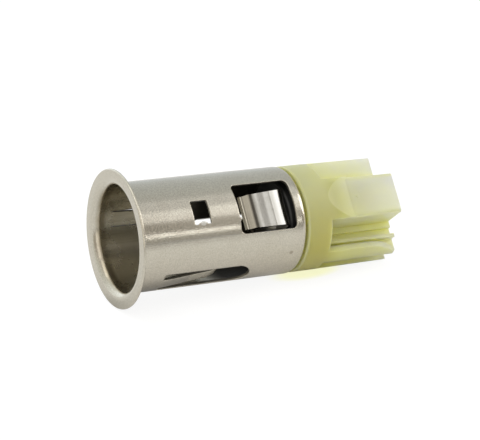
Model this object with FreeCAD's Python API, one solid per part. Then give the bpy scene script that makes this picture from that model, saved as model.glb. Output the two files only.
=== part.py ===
import FreeCAD, Part
import math
import os

from FreeCAD import Vector

# Socket of a 12 V car lighter: a drawn metal barrel that sits in the dashboard, a spring clip inside it that
# grips the heated plug, and a moulded connector housing riveted to the barrel's bottom.
#
# Built with X along the barrel, from the flange's seating face towards the connector, and with Z towards the
# middle of one big window. All pieces are turned by LIE_ANGLE about X at the end, to the way the socket lies.
# All lengths are in millimetres and all angles in degrees.
LIE_ANGLE = 52.0

# Barrel
BORE_DIAMETER = 21.0
WALL = 0.6
FLANGE_DIAMETER = 28.0
BARREL_LENGTH = 37.55
MOUTH_BEND_SHARE = 0.414
BOTTOM_BEND = 1.0

# Windows, which go through both sides of the barrel
WINDOW_LENGTH = 12.7
WINDOW_WIDTH = 10.4
WINDOW_CORNER = 1.0
WINDOW_TO_BOTTOM = 2.7
NIB_RADIUS = 0.35
NIB_OFFSET = 2.3
SQUARE_LENGTH = 3.7
SQUARE_WIDTH = 4.9
SQUARE_CORNER = 0.25
SQUARE_FROM_SEAT = 12.15
HUMP_RADIUS = 1.2
HUMP_RISE = 0.55

# Lanced contact tongues, one with wide gaps beside it and one with narrow gaps
WIDE_SLOT_ANGLE = 82.3
WIDE_SLOT_START = 6.25
WIDE_SLOT_LENGTH = 19.4
WIDE_SLOT_GAP = 1.6
NARROW_SLOT_ANGLE = -139.0
NARROW_SLOT_START = 3.45
NARROW_SLOT_LENGTH = 16.6
NARROW_SLOT_GAP = 0.12
SLOT_CORNER = 0.2
TONGUE_WIDTH = 3.2
TONGUE_TO_SLOT_END = 7.4
TONGUE_SLOPE = 5.4
TONGUE_BEND = 4.0
TONGUE_CURL_LENGTH = 1.5
TONGUE_CURL_SLOPE = 18.0

# Bimetal clip
CLIP_THICKNESS = 0.5
CLIP_WIDTH = 7.7
CLIP_TIP_WIDTH = 7.0
CLIP_INSET = 1.9
CLIP_BEND = 1.6
FINGER_LENGTH = 8.2
FINGER_SLOPE = 5.0
DETENT_DEPTH = 0.9
DETENT_LENGTH = 1.2
TIP_FLARE = 0.3
TIP_LENGTH = 0.45
DETENT_BEND = 0.7

# Insulating bush
BUSH_THICKNESS = 2.1
BUSH_MARGIN = 1.0
SPIGOT_WALL = 1.2
BUSH_EDGE = 0.3

# Centre rivet
RIVET_DIAMETER = 3.0
RIVET_HEAD_DIAMETER = 6.0
RIVET_HEAD_HEIGHT = 1.2
RIVET_TAIL_DIAMETER = 4.6
RIVET_TAIL_HEIGHT = 0.9
HOLE_CLEARANCE = 0.1

# Terminals
TERMINAL_THICKNESS = 0.8
BLADE_WIDTH = 6.3
BLADE_SPACING = 10.0
BLADE_BEND = 1.6
BLADE_TIP_INSET = 3.2
BLADE_TIP_CHAMFER = 1.2
BLADE_HOLE_DIAMETER = 1.7
BLADE_HOLE_FROM_TIP = 4.2
EARTH_RING_DIAMETER = 12.0

# Rear housing
COLLAR_STEP = 0.1
COLLAR_LENGTH = 5.45
COLLAR_WALL = 1.8
COLLAR_CHAMFER = 0.2
WEB = 2.0
BOSS_WALL = 1.0
STIFFENER = 1.0
STIFFENER_ANGLES = (0.0, 90.0, -90.0)
SHROUD_LENGTH = 16.9
SHROUD_WALL = 1.0
SHROUD_CORNER = 0.5
BLADE_SIDE_ROOM = 0.3
SHROUD_MARGIN = 0.1
DRAFT = 0.15
RAMP_LENGTH = 6.0
WING_THICKNESS = 1.4
WING_SPACING = 4.6
ROOT_WIDTH = 1.2
ROOT_RISE = 0.8
KEY_RIB = 0.75
KEY_RIB_OFFSET = 7.6
KEY_RIB_RISE = 2.1
KEY_RIB_FALL = 0.6
LIP_RISE = 2.05
LIP_WALL = 1.0
LIP_TAPER = 7.3
LIP_FALL = 2.5
LIP_BOW_PLACE = 0.4
LIP_BOW_FALL = 0.3
GATE_DIAMETER = 0.7
GATE_HEIGHT = 0.06
GATE_FROM_REAR = 9.45

# Sizes worked out from the driving dimensions
AXIS = Vector(1, 0, 0)
CENTRE = Vector(0, 0, 0)
BORE = BORE_DIAMETER / 2
OUTER = BORE + WALL
FLANGE = FLANGE_DIAMETER / 2
MOUTH_BEND = (FLANGE - OUTER) * MOUTH_BEND_SHARE
MOUTH = -WALL
FLOOR = BARREL_LENGTH - WALL
RIVET = RIVET_DIAMETER / 2
RIVET_HOLE = RIVET + HOLE_CLEARANCE
SPIGOT = RIVET_HOLE + SPIGOT_WALL
SPIGOT_HOLE = SPIGOT + HOLE_CLEARANCE
BUSH = BORE - BOTTOM_BEND - BUSH_MARGIN
BUSH_FRONT = FLOOR - BUSH_THICKNESS
CLIP_FRONT = BUSH_FRONT - CLIP_THICKNESS
EARTH_REAR = BARREL_LENGTH + TERMINAL_THICKNESS
COLLAR = OUTER - COLLAR_STEP
COLLAR_REAR = BARREL_LENGTH + COLLAR_LENGTH
WEB_FRONT = COLLAR_REAR - WEB
LIVE_REAR = COLLAR_REAR + TERMINAL_THICKNESS
REAR = COLLAR_REAR + SHROUD_LENGTH
BLADE_TIP = REAR - BLADE_TIP_INSET
SHROUD_SIDE = BLADE_WIDTH / 2 + BLADE_SIDE_ROOM + SHROUD_WALL
SHROUD_TOP = math.sqrt((COLLAR - SHROUD_MARGIN) ** 2 - SHROUD_SIDE ** 2)
WING_TOP = WING_SPACING / 2 + WING_THICKNESS / 2
FAR = 2 * FLANGE
SLOTS = (
    (WIDE_SLOT_ANGLE, WIDE_SLOT_START, WIDE_SLOT_LENGTH, WIDE_SLOT_GAP),
    (NARROW_SLOT_ANGLE, NARROW_SLOT_START, NARROW_SLOT_LENGTH, NARROW_SLOT_GAP),
)
NEARLY_ONE = 0.999


def point(x, z):
    return Vector(x, 0, z)


def rounded_path(points, radii):
    """Open wire in the XZ plane with a tangent arc of the given radius at each inner point."""
    edges = []
    start = point(*points[0])
    for corner, after, radius in zip(points[1:], points[2:], radii):
        corner = point(*corner)
        back = (start - corner).normalize()
        ahead = (point(*after) - corner).normalize()
        half = back.getAngle(ahead) / 2
        inward = (back + ahead).normalize()
        middle = corner + inward * (radius / math.sin(half) - radius)
        reach = radius / math.tan(half)
        edges.append(Part.LineSegment(start, corner + back * reach).toShape())
        edges.append(Part.Arc(corner + back * reach, middle, corner + ahead * reach).toShape())
        start = corner + ahead * reach
    edges.append(Part.LineSegment(start, point(*points[-1])).toShape())
    return Part.Wire(edges)


def strip_section(path, thickness):
    """Face in the XZ plane between an open path and its parallel on one side."""
    return path.makeOffset2D(thickness, join=2, fill=True, openResult=True)


def extruded_across(face, width):
    """Prism of a face in the XZ plane, centred on that plane."""
    moved = face.translated(Vector(0, -width / 2, 0))
    return moved.extrude(Vector(0, width, 0))


def polygon_across(points, low, high):
    """Prism of an XZ outline between two places along Y."""
    corners = [Vector(x, low, z) for x, z in points]
    return Part.Face(Part.makePolygon(corners + corners[:1])).extrude(Vector(0, high - low, 0))


def rod(radius, low, high):
    return Part.makeCylinder(radius, high - low, point(low, 0), AXIS)


def turned(shape, angle):
    return shape.rotated(CENTRE, AXIS, angle)


def upright_edges(shape):
    """Straight edges that run along Z."""
    return [e for e in shape.Edges if abs(e.Vertexes[0].Z - e.Vertexes[-1].Z) > e.Length * NEARLY_ONE]


def chamfered_front(drum, front, size):
    """Drum along X with a chamfer round its front rim."""
    rims = [e for e in drum.Edges if e.isClosed() and abs(e.CenterOfMass.x - front) < size]
    return drum.makeChamfer(size, rims)


def punch(front, length, width, corner):
    """Rounded punch through both sides of the barrel, along Z."""
    box = Part.makeBox(length, width, 2 * FAR, Vector(front, -width / 2, -FAR))
    return box.makeFillet(corner, upright_edges(box))


def post(radius, x, y):
    return Part.makeCylinder(radius, 2 * FAR, Vector(x, y, -FAR))


def barrel_shell():
    """Drawn cup with a bell mouth, a flat flange and a holed bottom."""
    mouth_centre = point(MOUTH_BEND, OUTER + MOUTH_BEND)
    bottom_centre = point(FLOOR - BOTTOM_BEND, BORE - BOTTOM_BEND)
    slant = math.sqrt(0.5)
    mouth_way = point(-slant, -slant)
    bottom_way = point(slant, slant)
    rim = FLANGE - WALL / 2
    inner_mouth = MOUTH_BEND + WALL
    outer_bottom = BOTTOM_BEND + WALL
    corners = [
        point(MOUTH_BEND, BORE), point(bottom_centre.x, BORE),
        point(FLOOR, bottom_centre.z), point(FLOOR, SPIGOT_HOLE),
        point(BARREL_LENGTH, SPIGOT_HOLE), point(BARREL_LENGTH, bottom_centre.z),
        point(bottom_centre.x, OUTER), point(MOUTH_BEND, OUTER),
        point(0, mouth_centre.z), point(0, rim),
        point(MOUTH, rim), point(MOUTH, mouth_centre.z),
    ]
    bends = {
        1: bottom_centre + bottom_way * BOTTOM_BEND,
        5: bottom_centre + bottom_way * outer_bottom,
        7: mouth_centre + mouth_way * MOUTH_BEND,
        9: point(MOUTH / 2, FLANGE),
        11: mouth_centre + mouth_way * inner_mouth,
    }
    edges = []
    for index, start in enumerate(corners):
        end = corners[(index + 1) % len(corners)]
        curve = Part.Arc(start, bends[index], end) if index in bends else Part.LineSegment(start, end)
        edges.append(curve.toShape())
    return Part.Face(Part.Wire(edges)).revolve(CENTRE, AXIS, 360)


def window_cutters():
    front = BARREL_LENGTH - WINDOW_TO_BOTTOM - WINDOW_LENGTH
    window = punch(front, WINDOW_LENGTH, WINDOW_WIDTH, WINDOW_CORNER)
    window = window.cut(post(NIB_RADIUS, front, -NIB_OFFSET))
    square = punch(SQUARE_FROM_SEAT, SQUARE_LENGTH, SQUARE_WIDTH, SQUARE_CORNER)
    hump_y = -SQUARE_WIDTH / 2 - HUMP_RADIUS + HUMP_RISE
    square = square.cut(post(HUMP_RADIUS, SQUARE_FROM_SEAT + SQUARE_LENGTH / 2, hump_y))
    return [window, square]


def slot_cutter(start, length, gap):
    """Slot with a round rear end, through the upper wall only, with a gap on each side of its tongue."""
    width = TONGUE_WIDTH + 2 * gap
    end = start + length - width / 2
    box = Part.makeBox(end - start, width, OUTER, Vector(start, -width / 2, BORE / 2))
    front_edges = [e for e in upright_edges(box) if abs(e.Vertexes[0].X - start) < SLOT_CORNER]
    hole = Part.makeCylinder(width / 2, OUTER, Vector(end, 0, BORE / 2))
    return box.makeFillet(SLOT_CORNER, front_edges).fuse(hole)


def tongue(start, length):
    """Contact tongue that stays joined at the front of its slot and leans into the bore."""
    root = start - WALL
    bend = start + TONGUE_BEND * math.radians(TONGUE_SLOPE)
    lean = math.radians(TONGUE_SLOPE)
    curl = math.radians(TONGUE_CURL_SLOPE)
    straight = length - TONGUE_TO_SLOT_END - TONGUE_CURL_LENGTH
    knee = (bend + straight * math.cos(lean), OUTER - straight * math.sin(lean))
    tip = (knee[0] + TONGUE_CURL_LENGTH * math.cos(curl), knee[1] - TONGUE_CURL_LENGTH * math.sin(curl))
    path = rounded_path([(root, OUTER), (bend, OUTER), knee, tip], [TONGUE_BEND, TONGUE_BEND])
    section = strip_section(path, -WALL)
    half = math.degrees(math.asin(TONGUE_WIDTH / 2 / OUTER))
    return turned(section, -half).revolve(CENTRE, AXIS, 2 * half)


def barrel():
    shell = barrel_shell().cut(window_cutters())
    for angle, start, length, gap in SLOTS:
        shell = shell.cut(turned(slot_cutter(start, length, gap), angle))
        shell = shell.fuse(turned(tongue(start, length), angle))
    return shell.removeSplitter()


def clip_half():
    """Half of the clip's strip section: base, bend, sloping finger, inward detent and flared tip."""
    height = BORE - CLIP_INSET
    slope = math.radians(FINGER_SLOPE)
    dip = (BUSH_FRONT - FINGER_LENGTH, height - FINGER_LENGTH * math.tan(slope))
    valley = (dip[0] - DETENT_LENGTH, dip[1] - DETENT_DEPTH)
    tip = (valley[0] - TIP_LENGTH, valley[1] + TIP_FLARE)
    corners = [(BUSH_FRONT, 0), (BUSH_FRONT, height), dip, valley, tip]
    return strip_section(rounded_path(corners, [CLIP_BEND, DETENT_BEND, DETENT_BEND]), CLIP_THICKNESS)


def bimetal_clip():
    half = extruded_across(clip_half(), CLIP_WIDTH)
    finger_tip = BUSH_FRONT - FINGER_LENGTH - DETENT_LENGTH - TIP_LENGTH
    plan = [
        Vector(BUSH_FRONT, -CLIP_WIDTH / 2, -FAR), Vector(BUSH_FRONT, CLIP_WIDTH / 2, -FAR),
        Vector(finger_tip - CLIP_THICKNESS, CLIP_TIP_WIDTH / 2, -FAR),
        Vector(finger_tip - CLIP_THICKNESS, -CLIP_TIP_WIDTH / 2, -FAR),
    ]
    taper = Part.Face(Part.makePolygon(plan + plan[:1])).extrude(Vector(0, 0, 2 * FAR))
    half = half.common(taper)
    clip = half.fuse(turned(half, 180)).removeSplitter()
    return clip.cut(rod(RIVET_HOLE, 0, BARREL_LENGTH))


def insulating_bush():
    disc = chamfered_front(rod(BUSH, BUSH_FRONT, FLOOR), BUSH_FRONT, BUSH_EDGE)
    return disc.fuse(rod(SPIGOT, FLOOR, EARTH_REAR)).removeSplitter().cut(rod(RIVET_HOLE, 0, REAR))


def dome(radius, base, top):
    """Rivet head: a spherical cap that stands on the plane x = base and rises to x = top."""
    rise = top - base
    ball = (radius ** 2 + rise ** 2) / (2 * rise)
    half = math.asin(radius / abs(ball)) / 2
    middle = point(top - ball + ball * math.cos(half), abs(ball) * math.sin(half))
    section = [
        Part.Arc(point(top, 0), middle, point(base, radius)).toShape(),
        Part.LineSegment(point(base, radius), point(base, 0)).toShape(),
        Part.LineSegment(point(base, 0), point(top, 0)).toShape(),
    ]
    return Part.Face(Part.Wire(section)).revolve(CENTRE, AXIS, 360)


def centre_rivet():
    head = dome(RIVET_HEAD_DIAMETER / 2, CLIP_FRONT, CLIP_FRONT - RIVET_HEAD_HEIGHT)
    tail = dome(RIVET_TAIL_DIAMETER / 2, LIVE_REAR, LIVE_REAR + RIVET_TAIL_HEIGHT)
    return rod(RIVET, CLIP_FRONT, LIVE_REAR).fuse([head, tail]).removeSplitter()


def terminal(front, ring, hole):
    """Stamped ring whose arm bends into a blade on the +Z side."""
    outside = BLADE_SPACING / 2 + TERMINAL_THICKNESS / 2
    path = rounded_path([(front, 0), (front, outside), (BLADE_TIP, outside)], [BLADE_BEND])
    arm = extruded_across(strip_section(path, -TERMINAL_THICKNESS), BLADE_WIDTH)
    side = BLADE_WIDTH / 2
    nose = side - BLADE_TIP_CHAMFER
    plan = [
        Vector(front, -side, -FAR), Vector(BLADE_TIP - BLADE_TIP_CHAMFER, -side, -FAR),
        Vector(BLADE_TIP, -nose, -FAR), Vector(BLADE_TIP, nose, -FAR),
        Vector(BLADE_TIP - BLADE_TIP_CHAMFER, side, -FAR), Vector(front, side, -FAR),
    ]
    outline = Part.Face(Part.makePolygon(plan + plan[:1])).extrude(Vector(0, 0, 2 * FAR))
    stamping = arm.common(outline).fuse(rod(ring, front, front + TERMINAL_THICKNESS)).removeSplitter()
    stamping = stamping.cut(rod(hole, 0, front + 2 * TERMINAL_THICKNESS))
    return stamping.cut(post(BLADE_HOLE_DIAMETER / 2, BLADE_TIP - BLADE_HOLE_FROM_TIP, 0))


def earth_terminal():
    return turned(terminal(BARREL_LENGTH, EARTH_RING_DIAMETER / 2, SPIGOT_HOLE), 180)


def live_terminal():
    return terminal(COLLAR_REAR, BLADE_WIDTH / 2, RIVET_HOLE)


def drafted_box(front, rear, side, top, shrink):
    """Box along X with rounded long edges, smaller on every side by shrink at the rear."""
    sections = []
    for x, inset in ((front, 0), (rear, shrink)):
        corners = [(side - inset, top - inset), (inset - side, top - inset)]
        corners += [(inset - side, inset - top), (side - inset, inset - top)]
        sections.append(Part.makePolygon([Vector(x, y, z) for y, z in corners + corners[:1]]))
    box = Part.makeLoft(sections, True, True)
    long_edges = [e for e in box.Edges if abs(e.Vertexes[0].X - e.Vertexes[-1].X) > (rear - front) / 2]
    return box.makeFillet(SHROUD_CORNER, long_edges)


def wings():
    """Two plates across the shroud, with a thicker root on each side of it."""
    front = COLLAR_REAR - WEB / 2
    low = WING_SPACING / 2 - WING_THICKNESS / 2
    root = SHROUD_SIDE + ROOT_WIDTH
    plates = []
    for sign in (1, -1):
        for top, reach in ((WING_TOP, FAR), (WING_TOP + ROOT_RISE, root)):
            outline = [(front, sign * low), (REAR, sign * low), (REAR, sign * top), (front, sign * top)]
            plates.append(polygon_across(outline, -reach, reach))
    return plates


def key_rib():
    """Thin rib on one wing, a little lower at its free end."""
    front = COLLAR_REAR - WEB / 2
    top = WING_TOP + KEY_RIB_RISE
    outline = [(front, WING_TOP - WING_THICKNESS / 2), (front, top)]
    outline += [(REAR, top - KEY_RIB_FALL), (REAR, WING_TOP - WING_THICKNESS / 2)]
    return polygon_across(outline, -KEY_RIB_OFFSET - KEY_RIB / 2, -KEY_RIB_OFFSET + KEY_RIB / 2)


def key_lip(envelope):
    """Upturned lip along the same wing's edge that curves down to nothing at the rear."""
    front = COLLAR_REAR - WEB / 2
    low = WING_TOP - WING_THICKNESS / 2
    top = WING_TOP + LIP_RISE
    taper = REAR - LIP_TAPER
    bow = point(REAR - LIP_TAPER * LIP_BOW_PLACE, top - LIP_FALL * LIP_BOW_FALL)
    edges = [
        Part.LineSegment(point(front, low), point(front, top)).toShape(),
        Part.LineSegment(point(front, top), point(taper, top)).toShape(),
        Part.Arc(point(taper, top), bow, point(REAR, top - LIP_FALL)).toShape(),
        Part.LineSegment(point(REAR, top - LIP_FALL), point(REAR, low)).toShape(),
        Part.LineSegment(point(REAR, low), point(front, low)).toShape(),
    ]
    slab = Part.Face(Part.Wire(edges)).extrude(Vector(0, -FAR, 0))
    return slab.common(envelope.cut(rod(COLLAR - LIP_WALL - DRAFT, 0, REAR + WEB)))


def ramps():
    """Sloping blends from the collar down to the shroud's two flat faces."""
    start = COLLAR_REAR - WEB / 2
    end = COLLAR_REAR + RAMP_LENGTH
    low = SHROUD_TOP - SHROUD_WALL / 2
    outline = [(start, low), (start, COLLAR), (COLLAR_REAR, COLLAR), (end, SHROUD_TOP - DRAFT), (end, low)]
    ramp = polygon_across(outline, -SHROUD_SIDE, SHROUD_SIDE).common(rod(COLLAR, 0, end))
    return [ramp, turned(ramp, 180)]


def collar_inside():
    """Hollow between the collar's wall, its boss and its stiffeners."""
    hollow = rod(COLLAR - COLLAR_WALL, BARREL_LENGTH, WEB_FRONT)
    hollow = hollow.cut(rod(SPIGOT + BOSS_WALL, EARTH_REAR, WEB_FRONT))
    size = (WEB_FRONT - EARTH_REAR, STIFFENER, COLLAR)
    stiffener = Part.makeBox(*size, Vector(EARTH_REAR, -STIFFENER / 2, 0))
    return hollow.cut([turned(stiffener, angle) for angle in STIFFENER_ANGLES])


def blade_slot():
    """Way through the web for the earth blade."""
    gap = TERMINAL_THICKNESS + 2 * HOLE_CLEARANCE
    width = BLADE_WIDTH + 2 * HOLE_CLEARANCE
    corner = Vector(WEB_FRONT - WEB / 2, -width / 2, -BLADE_SPACING / 2 - gap / 2)
    return Part.makeBox(2 * WEB, width, gap, corner)


def rear_housing():
    envelope = Part.makeCone(COLLAR, COLLAR - DRAFT, SHROUD_LENGTH + WEB, point(COLLAR_REAR - WEB, 0), AXIS)
    shroud = drafted_box(COLLAR_REAR - WEB / 2, REAR, SHROUD_SIDE, SHROUD_TOP, DRAFT)
    gate_foot = point(REAR - GATE_FROM_REAR, SHROUD_TOP - SHROUD_WALL / 2)
    gate = Part.makeCylinder(GATE_DIAMETER / 2, SHROUD_WALL / 2 + GATE_HEIGHT, gate_foot)
    collar = chamfered_front(rod(COLLAR, BARREL_LENGTH, COLLAR_REAR), BARREL_LENGTH, COLLAR_CHAMFER)
    fins = [fin.common(envelope) for fin in wings() + [key_rib()]]
    housing = collar.fuse([shroud, gate, key_lip(envelope)] + fins + ramps())
    cavity = drafted_box(COLLAR_REAR, REAR + WEB, SHROUD_SIDE - SHROUD_WALL, SHROUD_TOP - SHROUD_WALL, 0)
    housing = housing.cut([cavity, collar_inside(), rod(RIVET_HOLE, 0, REAR), blade_slot()])
    return housing.removeSplitter()


PIECES = {
    "barrel": barrel,
    "bimetal_clip": bimetal_clip,
    "insulating_bush": insulating_bush,
    "centre_rivet": centre_rivet,
    "earth_terminal": earth_terminal,
    "live_terminal": live_terminal,
    "rear_housing": rear_housing,
}

os.makedirs("parts", exist_ok=True)
for name, make in PIECES.items():
    shape = turned(make(), LIE_ANGLE)
    shape.exportStep(f"parts/{name}.step")
    print(name, len(shape.Solids), round(shape.Volume, 1), shape.isValid())
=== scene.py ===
import math

import bpy
from mathutils import Matrix, Vector

# Looks of a 12 V car lighter socket, lying on a white surface. All lengths are in metres.
MILLIMETRE = 0.001

# Camera
CAMERA_PLACE = (-0.14477, -0.31575, 0.11692)
CAMERA_RIGHT = (0.88414537, -0.46475167, 0.0478836)
CAMERA_UP = (0.10258352, 0.29309246, 0.9505648)
CAMERA_BACK = (-0.4558109, -0.8355254, 0.3068122)
LENS = 138.79
SENSOR_WIDTH = 36.0

# Rest: the flange's rim and the housing's end touch the floor, so the barrel's axis slopes down to the rear
REST_TILT = math.radians(3.9)
FLOOR_SIZE = 6.0

# Room: the light that comes from each angle from straight up, towards the camera's side
ROOM_TONES = (
    (-100, (0.76, 0.81, 0.84)),
    (-70, (0.72, 0.77, 0.79)),
    (-40, (0.65, 0.69, 0.69)),
    (-15, (0.65, 0.68, 0.665)),
    (5, (0.66, 0.67, 0.655)),
    (25, (0.58, 0.58, 0.56)),
    (40, (0.48, 0.46, 0.43)),
    (55, (0.40, 0.375, 0.335)),
    (66, (0.42, 0.40, 0.36)),
    (78, (0.48, 0.47, 0.43)),
    (90, (0.44, 0.43, 0.40)),
)
ROOM_STRENGTH = 2.0
# Share of that light by its direction's X, so that the room is dimmer at both ends of the barrel
END_TONES = (
    (-1.0, (0.58, 0.56, 0.52)),
    (-0.75, (0.62, 0.60, 0.57)),
    (-0.5, (0.78, 0.77, 0.75)),
    (0.1, (1.0, 1.0, 1.0)),
    (0.22, (0.42, 0.42, 0.42)),
    (0.32, (0.42, 0.42, 0.42)),
    (0.4, (0.5, 0.5, 0.5)),
    (0.6, (0.5, 0.5, 0.5)),
    (0.75, (0.44, 0.42, 0.39)),
    (0.88, (0.60, 0.56, 0.50)),
    (1.0, (0.60, 0.56, 0.50)),
)

# Lamps: direction from the object, width along the barrel, height and radiance
LAMPS = {
    "key": ((0.62, -0.46, 0.636), 0.43, 0.26, 0.82),
    "top": ((0.62, -0.163, 0.767), 0.43, 0.29, 0.24),
    "strip": ((0.40, -0.880, 0.256), 0.30, 0.044, 2.4),
    "fill": ((-0.36, -0.05, 0.93), 0.30, 0.55, 1.1),
    "front": ((-0.6, -0.7, 0.4), 0.45, 0.68, 0.8),
    "side": ((0.53, -0.703, 0.474), 0.14, 0.19, 0.3),
    "edge": ((0.87, -0.24, 0.42), 0.36, 0.34, 2.2),
}
LAMP_DISTANCE = 0.7
LAMP_COLOUR = (0.98, 1.0, 1.0)

# Socket sizes that the materials refer to
BORE = 0.0105
WALL = 0.0006
# Cosine and sine of the angle from straight up at which the near big window and the connector block lie
WINDOW_COS = 0.616
WINDOW_SIN = 0.788

# Stretches below are pairs: where an effect begins and where it is full.
# X counts from the flange's seating face.

# Barrel
BORE_SKIN = (BORE + 0.15 * WALL, BORE + 0.05 * WALL)
CUT_SKIN = (BORE + 0.85 * WALL, BORE + 0.7 * WALL)
MOUTH_SKIN = (BORE + 0.9 * WALL, BORE + 0.2 * WALL)
MOUTH_X = (0.0025, 0.0017)
CUTS_X = (0.0022, 0.0028)
# Painted shade far inside the bore, nearly black behind the windows
DEEP_SHADE_X = (0.0165, 0.0240)
# Painted light on the bore's lower wall, which faces up
BORE_LIGHT_Z = (-0.003, -0.008)
# Painted highlight on the tab at the square window's lower side
HUMP_HIGHLIGHT_SPOT = (0.0140, -0.00985, 0.00513)
HUMP_HIGHLIGHT_RADIUS = 1.0 * MILLIMETRE
# A small dark spot on the barrel
DARK_SPOT_PLACE = (0.03385, -0.01059, -0.00332)
DARK_SPOT_RADIUS = 0.6 * MILLIMETRE

# Spring strip
TIP_X = (0.0288, 0.0262)
# Painted shadow in the groove near the strip's tip
CREASE_X = 0.0272
CREASE_REACH = (0.5 * MILLIMETRE, 0.1 * MILLIMETRE)
# Painted highlight near the strip's rear bend
STRIP_HIGHLIGHT_X = (0.0317, 0.0327)
REAR_TURN_X = (0.0314, 0.0336)
# Waves along the strip, in radians per metre
WIDE_WAVE = 2732.0
FINE_WAVE = 6980.0

# Housing
# Painted light on the collar's front rim, next to the barrel
LIT_COLLAR_EDGE_X = (0.0381, 0.0377)
SHROUD_X = (0.0417, 0.0467)
# Painted shade on the ramp between collar and block
RAMP_X = (0.0492, 0.0445)
# Painted light: paler towards the rear, more so up high
PALER_X = (0.044, 0.060)
# Painted light and shade: paler up high, more saturated and darker low down
UPPER_Z = (-0.009, 0.0095)
LOW_Z = (0.012, -0.004)
FIN_Z = (0.0062, 0.0092)
# Painted light in the recess near the axis: brighter, more saturated yellow
OUTER_RADIUS = (0.0055, 0.0085)
BLOCK_REACH = (0.005, 0.007)
BLOCK_SIDE = (0.0047, 0.0043)
BLOCK_WALLS = (0.0032, 0.0042)

# Noises: scale per metre, detail and roughness
DRAWING_LINES = (3200.0, 3.0, 0.6)
STEEL_GRAIN = (6500.0, 4.0, 0.75)
STEEL_COARSE_GRAIN = (3800.0, 1.0, 0.5)
STEEL_PATCHES = (260.0, 3.0, 0.55)
STRIP_LINES = (5000.0, 3.0, 0.6)
STRIP_PATCHES = (420.0, 3.0, 0.55)
STRIP_DRIFT = (160.0, 2.0, 0.5)
HOUSING_CLOUDS = (180.0, 3.0, 0.5)
HOUSING_SKIN = (2600.0, 2.0, 0.55)
BUSH_SKIN = (3000.0, 3.0, 0.6)
STAMPED_LINES = (3600.0, 3.0, 0.6)
STAMPED_PATCHES = (380.0, 4.0, 0.6)


def rgb(red, green, blue):
    return (red, green, blue, 1.0)


# Colours of each material
STEEL = {
    "light": rgb(0.625, 0.582, 0.498),
    "dark": rgb(0.60, 0.553, 0.468),
    "grain": rgb(0.36, 0.33, 0.28),
    "bore": rgb(0.53, 0.485, 0.365),
    "lines": rgb(0.43, 0.39, 0.285),
    "painted_light": rgb(0.80, 0.745, 0.62),
    "mouth_ring": rgb(0.27, 0.225, 0.15),
    "deep_shade": rgb(0.05, 0.045, 0.036),
    "cut": rgb(0.17, 0.155, 0.13),
    "hump_highlight": rgb(0.97, 0.96, 0.92),
    "dark_spot": rgb(0.25, 0.21, 0.16),
}
STRIP = {
    "light": rgb(0.63, 0.61, 0.57),
    "dark": rgb(0.57, 0.55, 0.505),
    "painted_light": rgb(0.84, 0.825, 0.79),
    "tip": rgb(0.25, 0.223, 0.175),
    "crease_shade": rgb(0.08, 0.07, 0.055),
    "edge_and_inner_shade": rgb(0.07, 0.062, 0.052),
}
HOUSING = {
    "collar": rgb(0.67, 0.665, 0.36),
    "low collar": rgb(0.62, 0.575, 0.17),
    "lit collar edge": rgb(0.80, 0.78, 0.36),
    "shroud": rgb(0.89, 0.88, 0.38),
    "low shroud": rgb(0.89, 0.865, 0.28),
    "rear": rgb(0.91, 0.91, 0.66),
    "fin": rgb(0.80, 0.80, 0.50),
    "rear fin": rgb(0.81, 0.815, 0.71),
    "ramp": rgb(0.55, 0.545, 0.21),
    "walls": rgb(0.72, 0.71, 0.30),
    "lit_underside": rgb(0.985, 0.98, 0.55),
    "inner": rgb(0.985, 0.965, 0.38),
}
BLACK = (rgb(0.008, 0.008, 0.008), rgb(0.02, 0.019, 0.018))
BRASS = (rgb(0.80, 0.63, 0.33), rgb(0.68, 0.50, 0.24))
RIVET = (rgb(0.60, 0.58, 0.54), rgb(0.46, 0.44, 0.40))
WHITE = rgb(1.0, 1.0, 1.0)

# Floor: its glow and the share of its shade that the glow takes, for the camera and for reflections
CARD = 0.80
CAMERA_GLOW = 0.88
CAMERA_SHARE = 0.63
MIRROR_GLOW = 0.22
MIRROR_SHARE = 0.12
# Painted shadow that only reflections see: under the barrel, and a darker floor far towards the camera
UNDER_SPOT = (0.014, 0.002, 0.0)
UNDER_RADIUS = 0.024
UNDER_STRETCH = 1.8
UNDER_LOSS = 0.40
FAR_Y = (-0.06, -0.20)
FAR_LOSS = 0.45
# Yellow light that falls through the housing
TINT = rgb(1.0, 1.0, 0.66)
TINT_SPOT = (0.0425, -0.0050, 0.0)
TINT_RADIUS = 0.0100
TINT_STRETCH = 2.0


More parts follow.
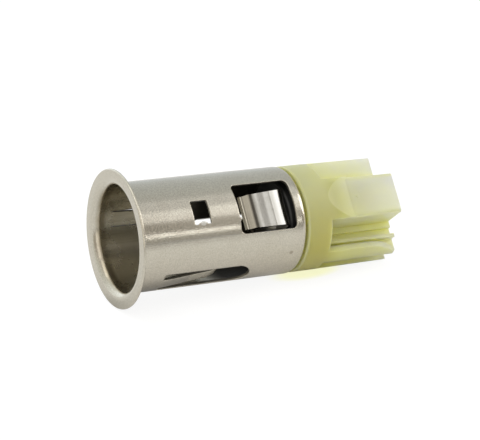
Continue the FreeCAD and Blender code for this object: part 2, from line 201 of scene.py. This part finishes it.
class Graph:
    """Short way of adding and linking shader nodes."""

    def __init__(self, tree):
        self.tree = tree
        tree.nodes.clear()

    def put(self, socket, value):
        if isinstance(value, bpy.types.NodeSocket):
            self.tree.links.new(value, socket)
        else:
            socket.default_value = value

    def add(self, kind, inputs=None, **settings):
        node = self.tree.nodes.new(kind)
        for name, value in settings.items():
            setattr(node, name, value)
        for key, value in (inputs or {}).items():
            self.put(node.inputs[key], value)
        return node

    def math(self, operation, *values, clamp=False):
        node = self.add("ShaderNodeMath", dict(enumerate(values)), operation=operation, use_clamp=clamp)
        return node.outputs[0]

    def times(self, a, b):
        return self.math("MULTIPLY", a, b)

    def plus(self, a, b, clamp=False):
        return self.math("ADD", a, b, clamp=clamp)

    def remap(self, value, low, high, to_low=0.0, to_high=1.0, smooth=False):
        inputs = {"Value": value, "From Min": low, "From Max": high, "To Min": to_low, "To Max": to_high}
        kind = "SMOOTHSTEP" if smooth else "LINEAR"
        return self.add("ShaderNodeMapRange", inputs, interpolation_type=kind).outputs[0]

    def mix(self, factor, a, b):
        """Colour a where factor is 0 and colour b where it is 1."""
        node = self.add("ShaderNodeMix", data_type="RGBA")
        for index, value in ((0, factor), (6, a), (7, b)):
            self.put(node.inputs[index], value)
        return node.outputs[2]

    def ramp(self, value, stops):
        node = self.add("ShaderNodeValToRGB", {"Fac": value})
        elements = node.color_ramp.elements
        while len(elements) < len(stops):
            elements.new(1.0)
        for element, (position, colour) in zip(elements, stops):
            element.position = position
            element.color = colour
        return node.outputs[0]

    def noise(self, vector, scale, detail, roughness):
        inputs = {"Vector": vector, "Scale": scale, "Detail": detail, "Roughness": roughness}
        return self.add("ShaderNodeTexNoise", inputs).outputs[0]

    def vector(self, x, y, z):
        return self.add("ShaderNodeCombineXYZ", {"X": x, "Y": y, "Z": z}).outputs[0]

    def place(self):
        return self.add("ShaderNodeTexCoord").outputs["Object"]

    def facing(self):
        return self.add("ShaderNodeTexCoord").outputs["Normal"]

    def split(self, vector):
        return self.add("ShaderNodeSeparateXYZ", {"Vector": vector}).outputs

    def bump(self, height, distance, strength, normal):
        inputs = {"Height": height, "Distance": distance, "Strength": strength, "Normal": normal}
        return self.add("ShaderNodeBump", inputs).outputs[0]

    def soft_edges(self, radius):
        return self.add("ShaderNodeBevel", {"Radius": radius}, samples=6).outputs[0]

    def near(self, vector, centre, radius):
        """1 at a place on the object, fading to 0 at a distance of radius."""
        gap = self.add("ShaderNodeVectorMath", {0: vector, 1: centre}, operation="DISTANCE").outputs["Value"]
        return self.remap(gap, radius, 0.4 * radius, smooth=True)

    def surface(self, **inputs):
        named = {name.replace("_", " "): value for name, value in inputs.items()}
        shader = self.add("ShaderNodeBsdfPrincipled", named)
        self.add("ShaderNodeOutputMaterial", {"Surface": shader.outputs[0]})


def material(name):
    made = bpy.data.materials.new(name)
    made.use_nodes = True
    return made, Graph(made.node_tree)


def distance_from_axis(g, y, z):
    return g.math("SQRT", g.plus(g.times(y, y), g.times(z, z)))


def facing_axis(g, y, z, radius):
    """How far the surface faces away from the barrel's axis: 1 outside, -1 in the bore, 0 on a cut edge."""
    facing = g.split(g.facing())
    outward = g.plus(g.times(facing[1], y), g.times(facing[2], z))
    return g.math("DIVIDE", outward, radius)


def along_width(g, y, z):
    """Share of a direction that runs across the spring strip."""
    return g.plus(g.times(y, WINDOW_COS), g.times(z, WINDOW_SIN))


def facing_window(g, y, z):
    """1 on the near window's side of the axis, where the connector block is, and 0 on the other side."""
    reach = g.math("SUBTRACT", g.times(z, WINDOW_COS), g.times(y, WINDOW_SIN))
    return g.remap(reach, *BLOCK_REACH)


def plated_steel():
    """Satin nickel on drawn steel: fine grain outside, drawing lines and a duller tone inside the bore."""
    made, g = material("plated_steel")
    place = g.place()
    x, y, z = g.split(place)
    radius = distance_from_axis(g, y, z)
    around = g.times(g.math("ARCTAN2", y, z), BORE)

    inside = g.remap(radius, *BORE_SKIN)
    # Painted shade far inside the bore
    deep_shade = g.times(inside, g.remap(x, *DEEP_SHADE_X, smooth=True))
    facing = g.math("ABSOLUTE", facing_axis(g, y, z, radius))
    # Cut faces: raw steel, darker and rougher, and darkened further as painted shade
    cut = g.times(g.remap(x, *CUTS_X), g.remap(facing, 0.75, 0.45))
    cut = g.times(cut, g.remap(radius, *CUT_SKIN))

    lines = g.noise(g.vector(g.times(x, 0.03), around, 0.0), *DRAWING_LINES)
    grain = g.noise(place, *STEEL_GRAIN)
    coarse = g.noise(place, *STEEL_COARSE_GRAIN)
    patches = g.noise(place, *STEEL_PATCHES)
    # Darker brown patches in a ring inside the mouth's rounding
    mouth = g.times(g.remap(x, *MOUTH_X), g.remap(radius, *MOUTH_SKIN))
    mouth_ring = g.times(mouth, g.remap(patches, 0.3, 0.6, 0.45, 0.8))
    # Painted light: the bore's lower wall is lighter
    painted_light = g.times(inside, g.remap(z, *BORE_LIGHT_Z, 0.0, 0.8, smooth=True))
    dark_spot = g.times(g.near(place, DARK_SPOT_PLACE, DARK_SPOT_RADIUS), 0.55)

    tone = g.mix(g.remap(patches, 0.35, 0.7), STEEL["light"], STEEL["dark"])
    tone = g.mix(g.remap(coarse, 0.3, 0.7, 0.0, 0.42), tone, STEEL["grain"])
    tone = g.mix(g.times(inside, 0.65), tone, STEEL["bore"])
    tone = g.mix(g.times(g.remap(lines, 0.45, 0.75), inside), tone, STEEL["lines"])
    tone = g.mix(painted_light, tone, STEEL["painted_light"])
    tone = g.mix(mouth_ring, tone, STEEL["mouth_ring"])
    tone = g.mix(deep_shade, tone, STEEL["deep_shade"])
    tone = g.mix(cut, tone, STEEL["cut"])
    # Painted highlight on the tab at the square window's lower side
    tone = g.mix(g.near(place, HUMP_HIGHLIGHT_SPOT, HUMP_HIGHLIGHT_RADIUS), tone, STEEL["hump_highlight"])
    tone = g.mix(dark_spot, tone, STEEL["dark_spot"])

    roughness = g.plus(g.remap(patches, 0.3, 0.7, 0.15, 0.20), g.times(inside, 0.10))
    roughness = g.plus(roughness, g.times(deep_shade, 0.45))
    roughness = g.plus(roughness, g.times(cut, 0.25))

    normal = g.bump(grain, 0.007 * MILLIMETRE, 1.0, g.soft_edges(0.32 * MILLIMETRE))
    normal = g.bump(coarse, 0.011 * MILLIMETRE, 1.0, normal)
    normal = g.bump(lines, 0.004 * MILLIMETRE, g.remap(inside, 0.0, 1.0, 0.15, 1.0), normal)
    g.surface(Base_Color=tone, Metallic=1.0, Roughness=roughness, Normal=normal)
    return made


def bright_strip():
    """Polished spring strip with rolling lines along it and faint waves, darker brown towards the tip, a
    painted highlight near its rear bend, a painted shadow in the groove by the tip, and painted shade on its
    side faces and the faces towards the axis.
    """
    made, g = material("bimetal")
    place = g.place()
    x, y, z = g.split(place)
    facing = g.split(g.facing())
    edge = g.remap(g.math("ABSOLUTE", along_width(g, facing[1], facing[2])), 0.6, 0.85)
    inner = g.remap(facing_axis(g, y, z, distance_from_axis(g, y, z)), 0.2, -0.2)

    lines = g.noise(g.vector(g.times(x, 0.02), along_width(g, y, z), 0.0), *STRIP_LINES)
    patches = g.noise(place, *STRIP_PATCHES)
    from_crease = g.math("ABSOLUTE", g.math("SUBTRACT", x, CREASE_X))

    tone = g.mix(g.remap(patches, 0.35, 0.7), STRIP["light"], STRIP["dark"])
    # Painted highlight towards the strip's rear bend
    tone = g.mix(g.remap(x, *STRIP_HIGHLIGHT_X, smooth=True), tone, STRIP["painted_light"])
    tone = g.mix(g.remap(x, *TIP_X, 0.0, 0.9, smooth=True), tone, STRIP["tip"])
    # Painted shadow in the groove near the tip
    tone = g.mix(g.remap(from_crease, *CREASE_REACH, 0.0, 0.85, smooth=True), tone, STRIP["crease_shade"])
    # Painted shade on the strip's side faces and on the faces towards the axis
    tone = g.mix(g.math("MAXIMUM", edge, inner), tone, STRIP["edge_and_inner_shade"])
    roughness = g.plus(g.remap(lines, 0.3, 0.7, 0.15, 0.21), g.times(inner, 0.3))

    drift = g.times(g.noise(place, *STRIP_DRIFT), 0.8)
    wide = g.math("SINE", g.plus(g.times(x, WIDE_WAVE), g.plus(drift, 1.1)))
    fine = g.math("SINE", g.plus(g.times(x, FINE_WAVE), drift))
    waves = g.plus(wide, g.times(fine, 0.08))
    normal = g.bump(waves, 0.008 * MILLIMETRE, 1.0, g.soft_edges(0.1 * MILLIMETRE))
    normal = g.bump(g.remap(x, *REAR_TURN_X), -0.2 * MILLIMETRE, 1.0, normal)
    normal = g.bump(lines, 0.0015 * MILLIMETRE, 0.6, normal)
    g.surface(Base_Color=tone, Metallic=1.0, Roughness=roughness, Normal=normal)
    return made


def housing_plastic():
    """Translucent yellow-green moulding that light sinks far into. Its tones hold painted light and shade:
    more saturated and darker low down, paler up high and towards the rear, darker collar and ramp, and
    lighter recess, down-facing block face and collar rim.
    """
    made, g = material("housing_plastic")
    place = g.place()
    x, y, z = g.split(place)
    facing = g.split(g.facing())
    radius = distance_from_axis(g, y, z)
    clouds = g.remap(g.noise(place, *HOUSING_CLOUDS), 0.3, 0.7, -0.06, 0.06)
    skin = g.noise(place, *HOUSING_SKIN)

    upper = g.plus(g.remap(z, *UPPER_Z, smooth=True), clouds, clamp=True)
    outer = g.plus(g.remap(radius, *OUTER_RADIUS, smooth=True), clouds, clamp=True)
    # Painted light towards the rear end
    rear = g.remap(x, *PALER_X)
    paler = g.times(g.remap(upper, 0.0, 1.0, 0.6, 1.0), rear)
    block = facing_window(g, y, z)
    aside = g.math("ABSOLUTE", along_width(g, y, z))
    ramp = g.times(block, g.times(g.remap(x, *RAMP_X), g.remap(aside, *BLOCK_SIDE)))
    walls = g.times(block, g.remap(aside, *BLOCK_WALLS, 0.0, 0.5, smooth=True))
    # Painted light on the block's down-facing face
    lit_underside = g.times(block, g.remap(along_width(g, facing[1], facing[2]), -0.5, -0.85))

    # Painted shade: the collar is darker than the shroud, and darker and more saturated low down
    collar = g.mix(g.remap(z, *LOW_Z, smooth=True), HOUSING["collar"], HOUSING["low collar"])
    fin = g.mix(rear, HOUSING["fin"], HOUSING["rear fin"])
    # Painted light and shade: the shroud is paler up high and more saturated low down
    shroud = g.mix(upper, HOUSING["low shroud"], HOUSING["shroud"])
    shroud = g.mix(paler, shroud, HOUSING["rear"])
    # Painted light: the fins up high are paler, more so towards the rear
    shroud = g.mix(g.remap(z, *FIN_Z, smooth=True), shroud, fin)
    # Painted shade on the ramp, to even out the light it catches
    shroud = g.mix(ramp, shroud, HOUSING["ramp"])
    shroud = g.mix(walls, shroud, HOUSING["walls"])
    shroud = g.mix(lit_underside, shroud, HOUSING["lit_underside"])
    # Painted light in the recess near the axis
    shroud = g.mix(outer, HOUSING["inner"], shroud)
    tone = g.mix(g.remap(x, *SHROUD_X, smooth=True), collar, shroud)
    # Painted light on the collar's front rim
    tone = g.mix(g.remap(x, *LIT_COLLAR_EDGE_X), tone, HOUSING["lit collar edge"])

    g.surface(
        Base_Color=tone,
        Roughness=g.remap(skin, 0.3, 0.7, 0.30, 0.40),
        IOR=1.53,
        Subsurface_Weight=1.0,
        Specular_IOR_Level=0.35,
        Transmission_Weight=0.30,
        Subsurface_Radius=(1.0, 0.95, 0.45),
        Subsurface_Scale=4.5 * MILLIMETRE,
        Normal=g.bump(skin, 0.004 * MILLIMETRE, 0.5, g.soft_edges(0.25 * MILLIMETRE)),
    )
    return made


def black_plastic():
    """Moulded black plastic with a fine skin."""
    made, g = material("black_plastic")
    skin = g.noise(g.place(), *BUSH_SKIN)
    normal = g.bump(skin, 0.01 * MILLIMETRE, 0.6, g.soft_edges(0.1 * MILLIMETRE))
    g.surface(Base_Color=g.mix(skin, *BLACK), Roughness=g.remap(skin, 0.3, 0.7, 0.42, 0.6), Normal=normal)
    return made


def stamped(name, tones, smooth, rough):
    """Stamped metal with faint stains and rolling lines."""
    made, g = material(name)
    place = g.place()
    x, y, z = g.split(place)
    lines = g.noise(g.vector(g.times(x, 0.04), y, z), *STAMPED_LINES)
    patches = g.noise(place, *STAMPED_PATCHES)
    tone = g.mix(g.remap(patches, 0.35, 0.7), *tones)
    roughness = g.remap(patches, 0.3, 0.7, smooth, rough)
    normal = g.bump(lines, 0.003 * MILLIMETRE, 0.7, g.soft_edges(0.1 * MILLIMETRE))
    g.surface(Base_Color=tone, Metallic=1.0, Roughness=roughness, Normal=normal)
    return made


def floor_material():
    """White card: it glows for the camera and for reflections, and still takes the object's shadow."""
    made, g = material("floor")
    x, y = g.split(g.place())[:2]
    path = g.add("ShaderNodeLightPath").outputs
    seen = path["Is Camera Ray"]
    mirrored = g.math("MAXIMUM", path["Is Glossy Ray"], path["Is Transmission Ray"])

    # Painted shadow for reflections under the barrel, and painted shade far towards the camera
    under = g.near(g.vector(x, g.times(y, UNDER_STRETCH), 0.0), UNDER_SPOT, UNDER_RADIUS)
    loss = g.plus(g.times(under, UNDER_LOSS), g.remap(y, *FAR_Y, 0.0, FAR_LOSS))
    kept = g.math("SUBTRACT", 1.0, g.times(mirrored, loss))
    glow = g.times(kept, g.plus(g.times(seen, CAMERA_GLOW), g.times(mirrored, MIRROR_GLOW)))
    share = g.plus(g.times(seen, CAMERA_SHARE), g.times(mirrored, MIRROR_SHARE))
    shade = g.times(kept, g.math("SUBTRACT", CARD, share))
    tint = g.near(g.vector(x, g.times(y, TINT_STRETCH), 0.0), TINT_SPOT, TINT_RADIUS)

    card = g.add("ShaderNodeBsdfDiffuse", {"Color": g.vector(shade, shade, shade)}).outputs[0]
    light = g.add("ShaderNodeEmission", {"Color": g.mix(tint, WHITE, TINT), "Strength": glow}).outputs[0]
    both = g.add("ShaderNodeAddShader", {0: card, 1: light}).outputs[0]
    g.add("ShaderNodeOutputMaterial", {"Surface": both})
    return made


def build_floor(nodes):
    """Wide card under the object, at the slope that the object rests with."""
    up = Vector((-math.sin(REST_TILT), 0.0, math.cos(REST_TILT)))
    along = Vector((math.cos(REST_TILT), 0.0, math.sin(REST_TILT)))
    side = Vector((0.0, 1.0, 0.0))
    middle = up * min(up.dot(v.co) for node in nodes.values() for v in node.data.vertices)
    half = FLOOR_SIZE / 2
    corners = [middle + along * a * half + side * b * half for a, b in ((-1, -1), (1, -1), (1, 1), (-1, 1))]
    mesh = bpy.data.meshes.new("floor")
    mesh.from_pydata(corners, [], [(0, 1, 2, 3)])
    mesh.materials.append(floor_material())
    floor = bpy.data.objects.new("floor", mesh)
    bpy.context.scene.collection.objects.link(floor)


def build_camera():
    """Camera with a long lens, on the mouth's side and above the object."""
    data = bpy.data.cameras.new("camera")
    data.lens = LENS
    data.sensor_width = SENSOR_WIDTH
    data.sensor_fit = "HORIZONTAL"
    data.clip_start = 0.01
    data.clip_end = 20.0
    camera = bpy.data.objects.new("camera", data)
    columns = Matrix((CAMERA_RIGHT, CAMERA_UP, CAMERA_BACK)).transposed().to_4x4()
    camera.matrix_world = Matrix.Translation(CAMERA_PLACE) @ columns
    bpy.context.scene.collection.objects.link(camera)
    bpy.context.scene.camera = camera


def soft_light(name, way, width, height, radiance):
    """Rectangular light in a direction from the object, facing it, with its width along the barrel."""
    data = bpy.data.lights.new(name, "AREA")
    data.shape = "RECTANGLE"
    data.size = width
    data.size_y = height
    data.energy = radiance * math.pi * width * height
    data.color = LAMP_COLOUR
    light = bpy.data.objects.new(name, data)
    way = Vector(way).normalized()
    along = (Vector((1.0, 0.0, 0.0)) - way * way.x).normalized()
    columns = Matrix((along, way.cross(along), way)).transposed().to_4x4()
    light.matrix_world = Matrix.Translation(way * LAMP_DISTANCE) @ columns
    bpy.context.scene.collection.objects.link(light)


def build_world():
    """Pale room, brighter behind the object than behind the camera. The camera itself sees plain white."""
    world = bpy.data.worlds.new("room")
    bpy.context.scene.world = world
    world.use_nodes = True
    g = Graph(world.node_tree)
    x, y, z = g.split(g.add("ShaderNodeTexCoord").outputs["Generated"])
    turn = g.remap(g.math("ARCTAN2", g.times(y, -1.0), z), -math.pi, math.pi)
    around = g.ramp(turn, [(0.5 + angle / 360.0, rgb(*tone)) for angle, tone in ROOM_TONES])
    along = g.ramp(g.remap(x, -1.0, 1.0), [(0.5 + 0.5 * place, rgb(*tone)) for place, tone in END_TONES])
    room = g.add("ShaderNodeVectorMath", {0: around, 1: along}, operation="MULTIPLY").outputs[0]
    seen = g.add("ShaderNodeLightPath").outputs["Is Camera Ray"]
    inputs = {"Color": g.mix(seen, room, WHITE), "Strength": g.remap(seen, 0.0, 1.0, ROOM_STRENGTH, 1.0)}
    background = g.add("ShaderNodeBackground", inputs).outputs[0]
    g.add("ShaderNodeOutputWorld", {"Surface": background})


def dress(nodes):
    """Puts each node's material in its slots."""
    brass = stamped("terminal_brass", BRASS, 0.22, 0.34)
    finishes = {
        "barrel": plated_steel(),
        "bimetal_clip": bright_strip(),
        "insulating_bush": black_plastic(),
        "centre_rivet": stamped("rivet_steel", RIVET, 0.24, 0.36),
        "earth_terminal": brass,
        "live_terminal": brass,
        "rear_housing": housing_plastic(),
    }
    for name, finish in finishes.items():
        slots = nodes[name].data.materials
        for index in range(len(slots)):
            slots[index] = finish


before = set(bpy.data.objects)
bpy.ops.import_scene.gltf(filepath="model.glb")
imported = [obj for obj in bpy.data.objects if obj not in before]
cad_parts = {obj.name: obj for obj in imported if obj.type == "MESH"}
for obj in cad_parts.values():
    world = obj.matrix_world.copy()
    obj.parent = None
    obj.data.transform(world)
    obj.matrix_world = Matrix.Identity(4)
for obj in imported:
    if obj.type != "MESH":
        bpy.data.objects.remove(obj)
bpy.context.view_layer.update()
bpy.context.scene.view_settings.view_transform = "Standard"
build_camera()
dress(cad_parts)
build_floor(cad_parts)
build_world()
for lamp, settings in LAMPS.items():
    soft_light(lamp, *settings)
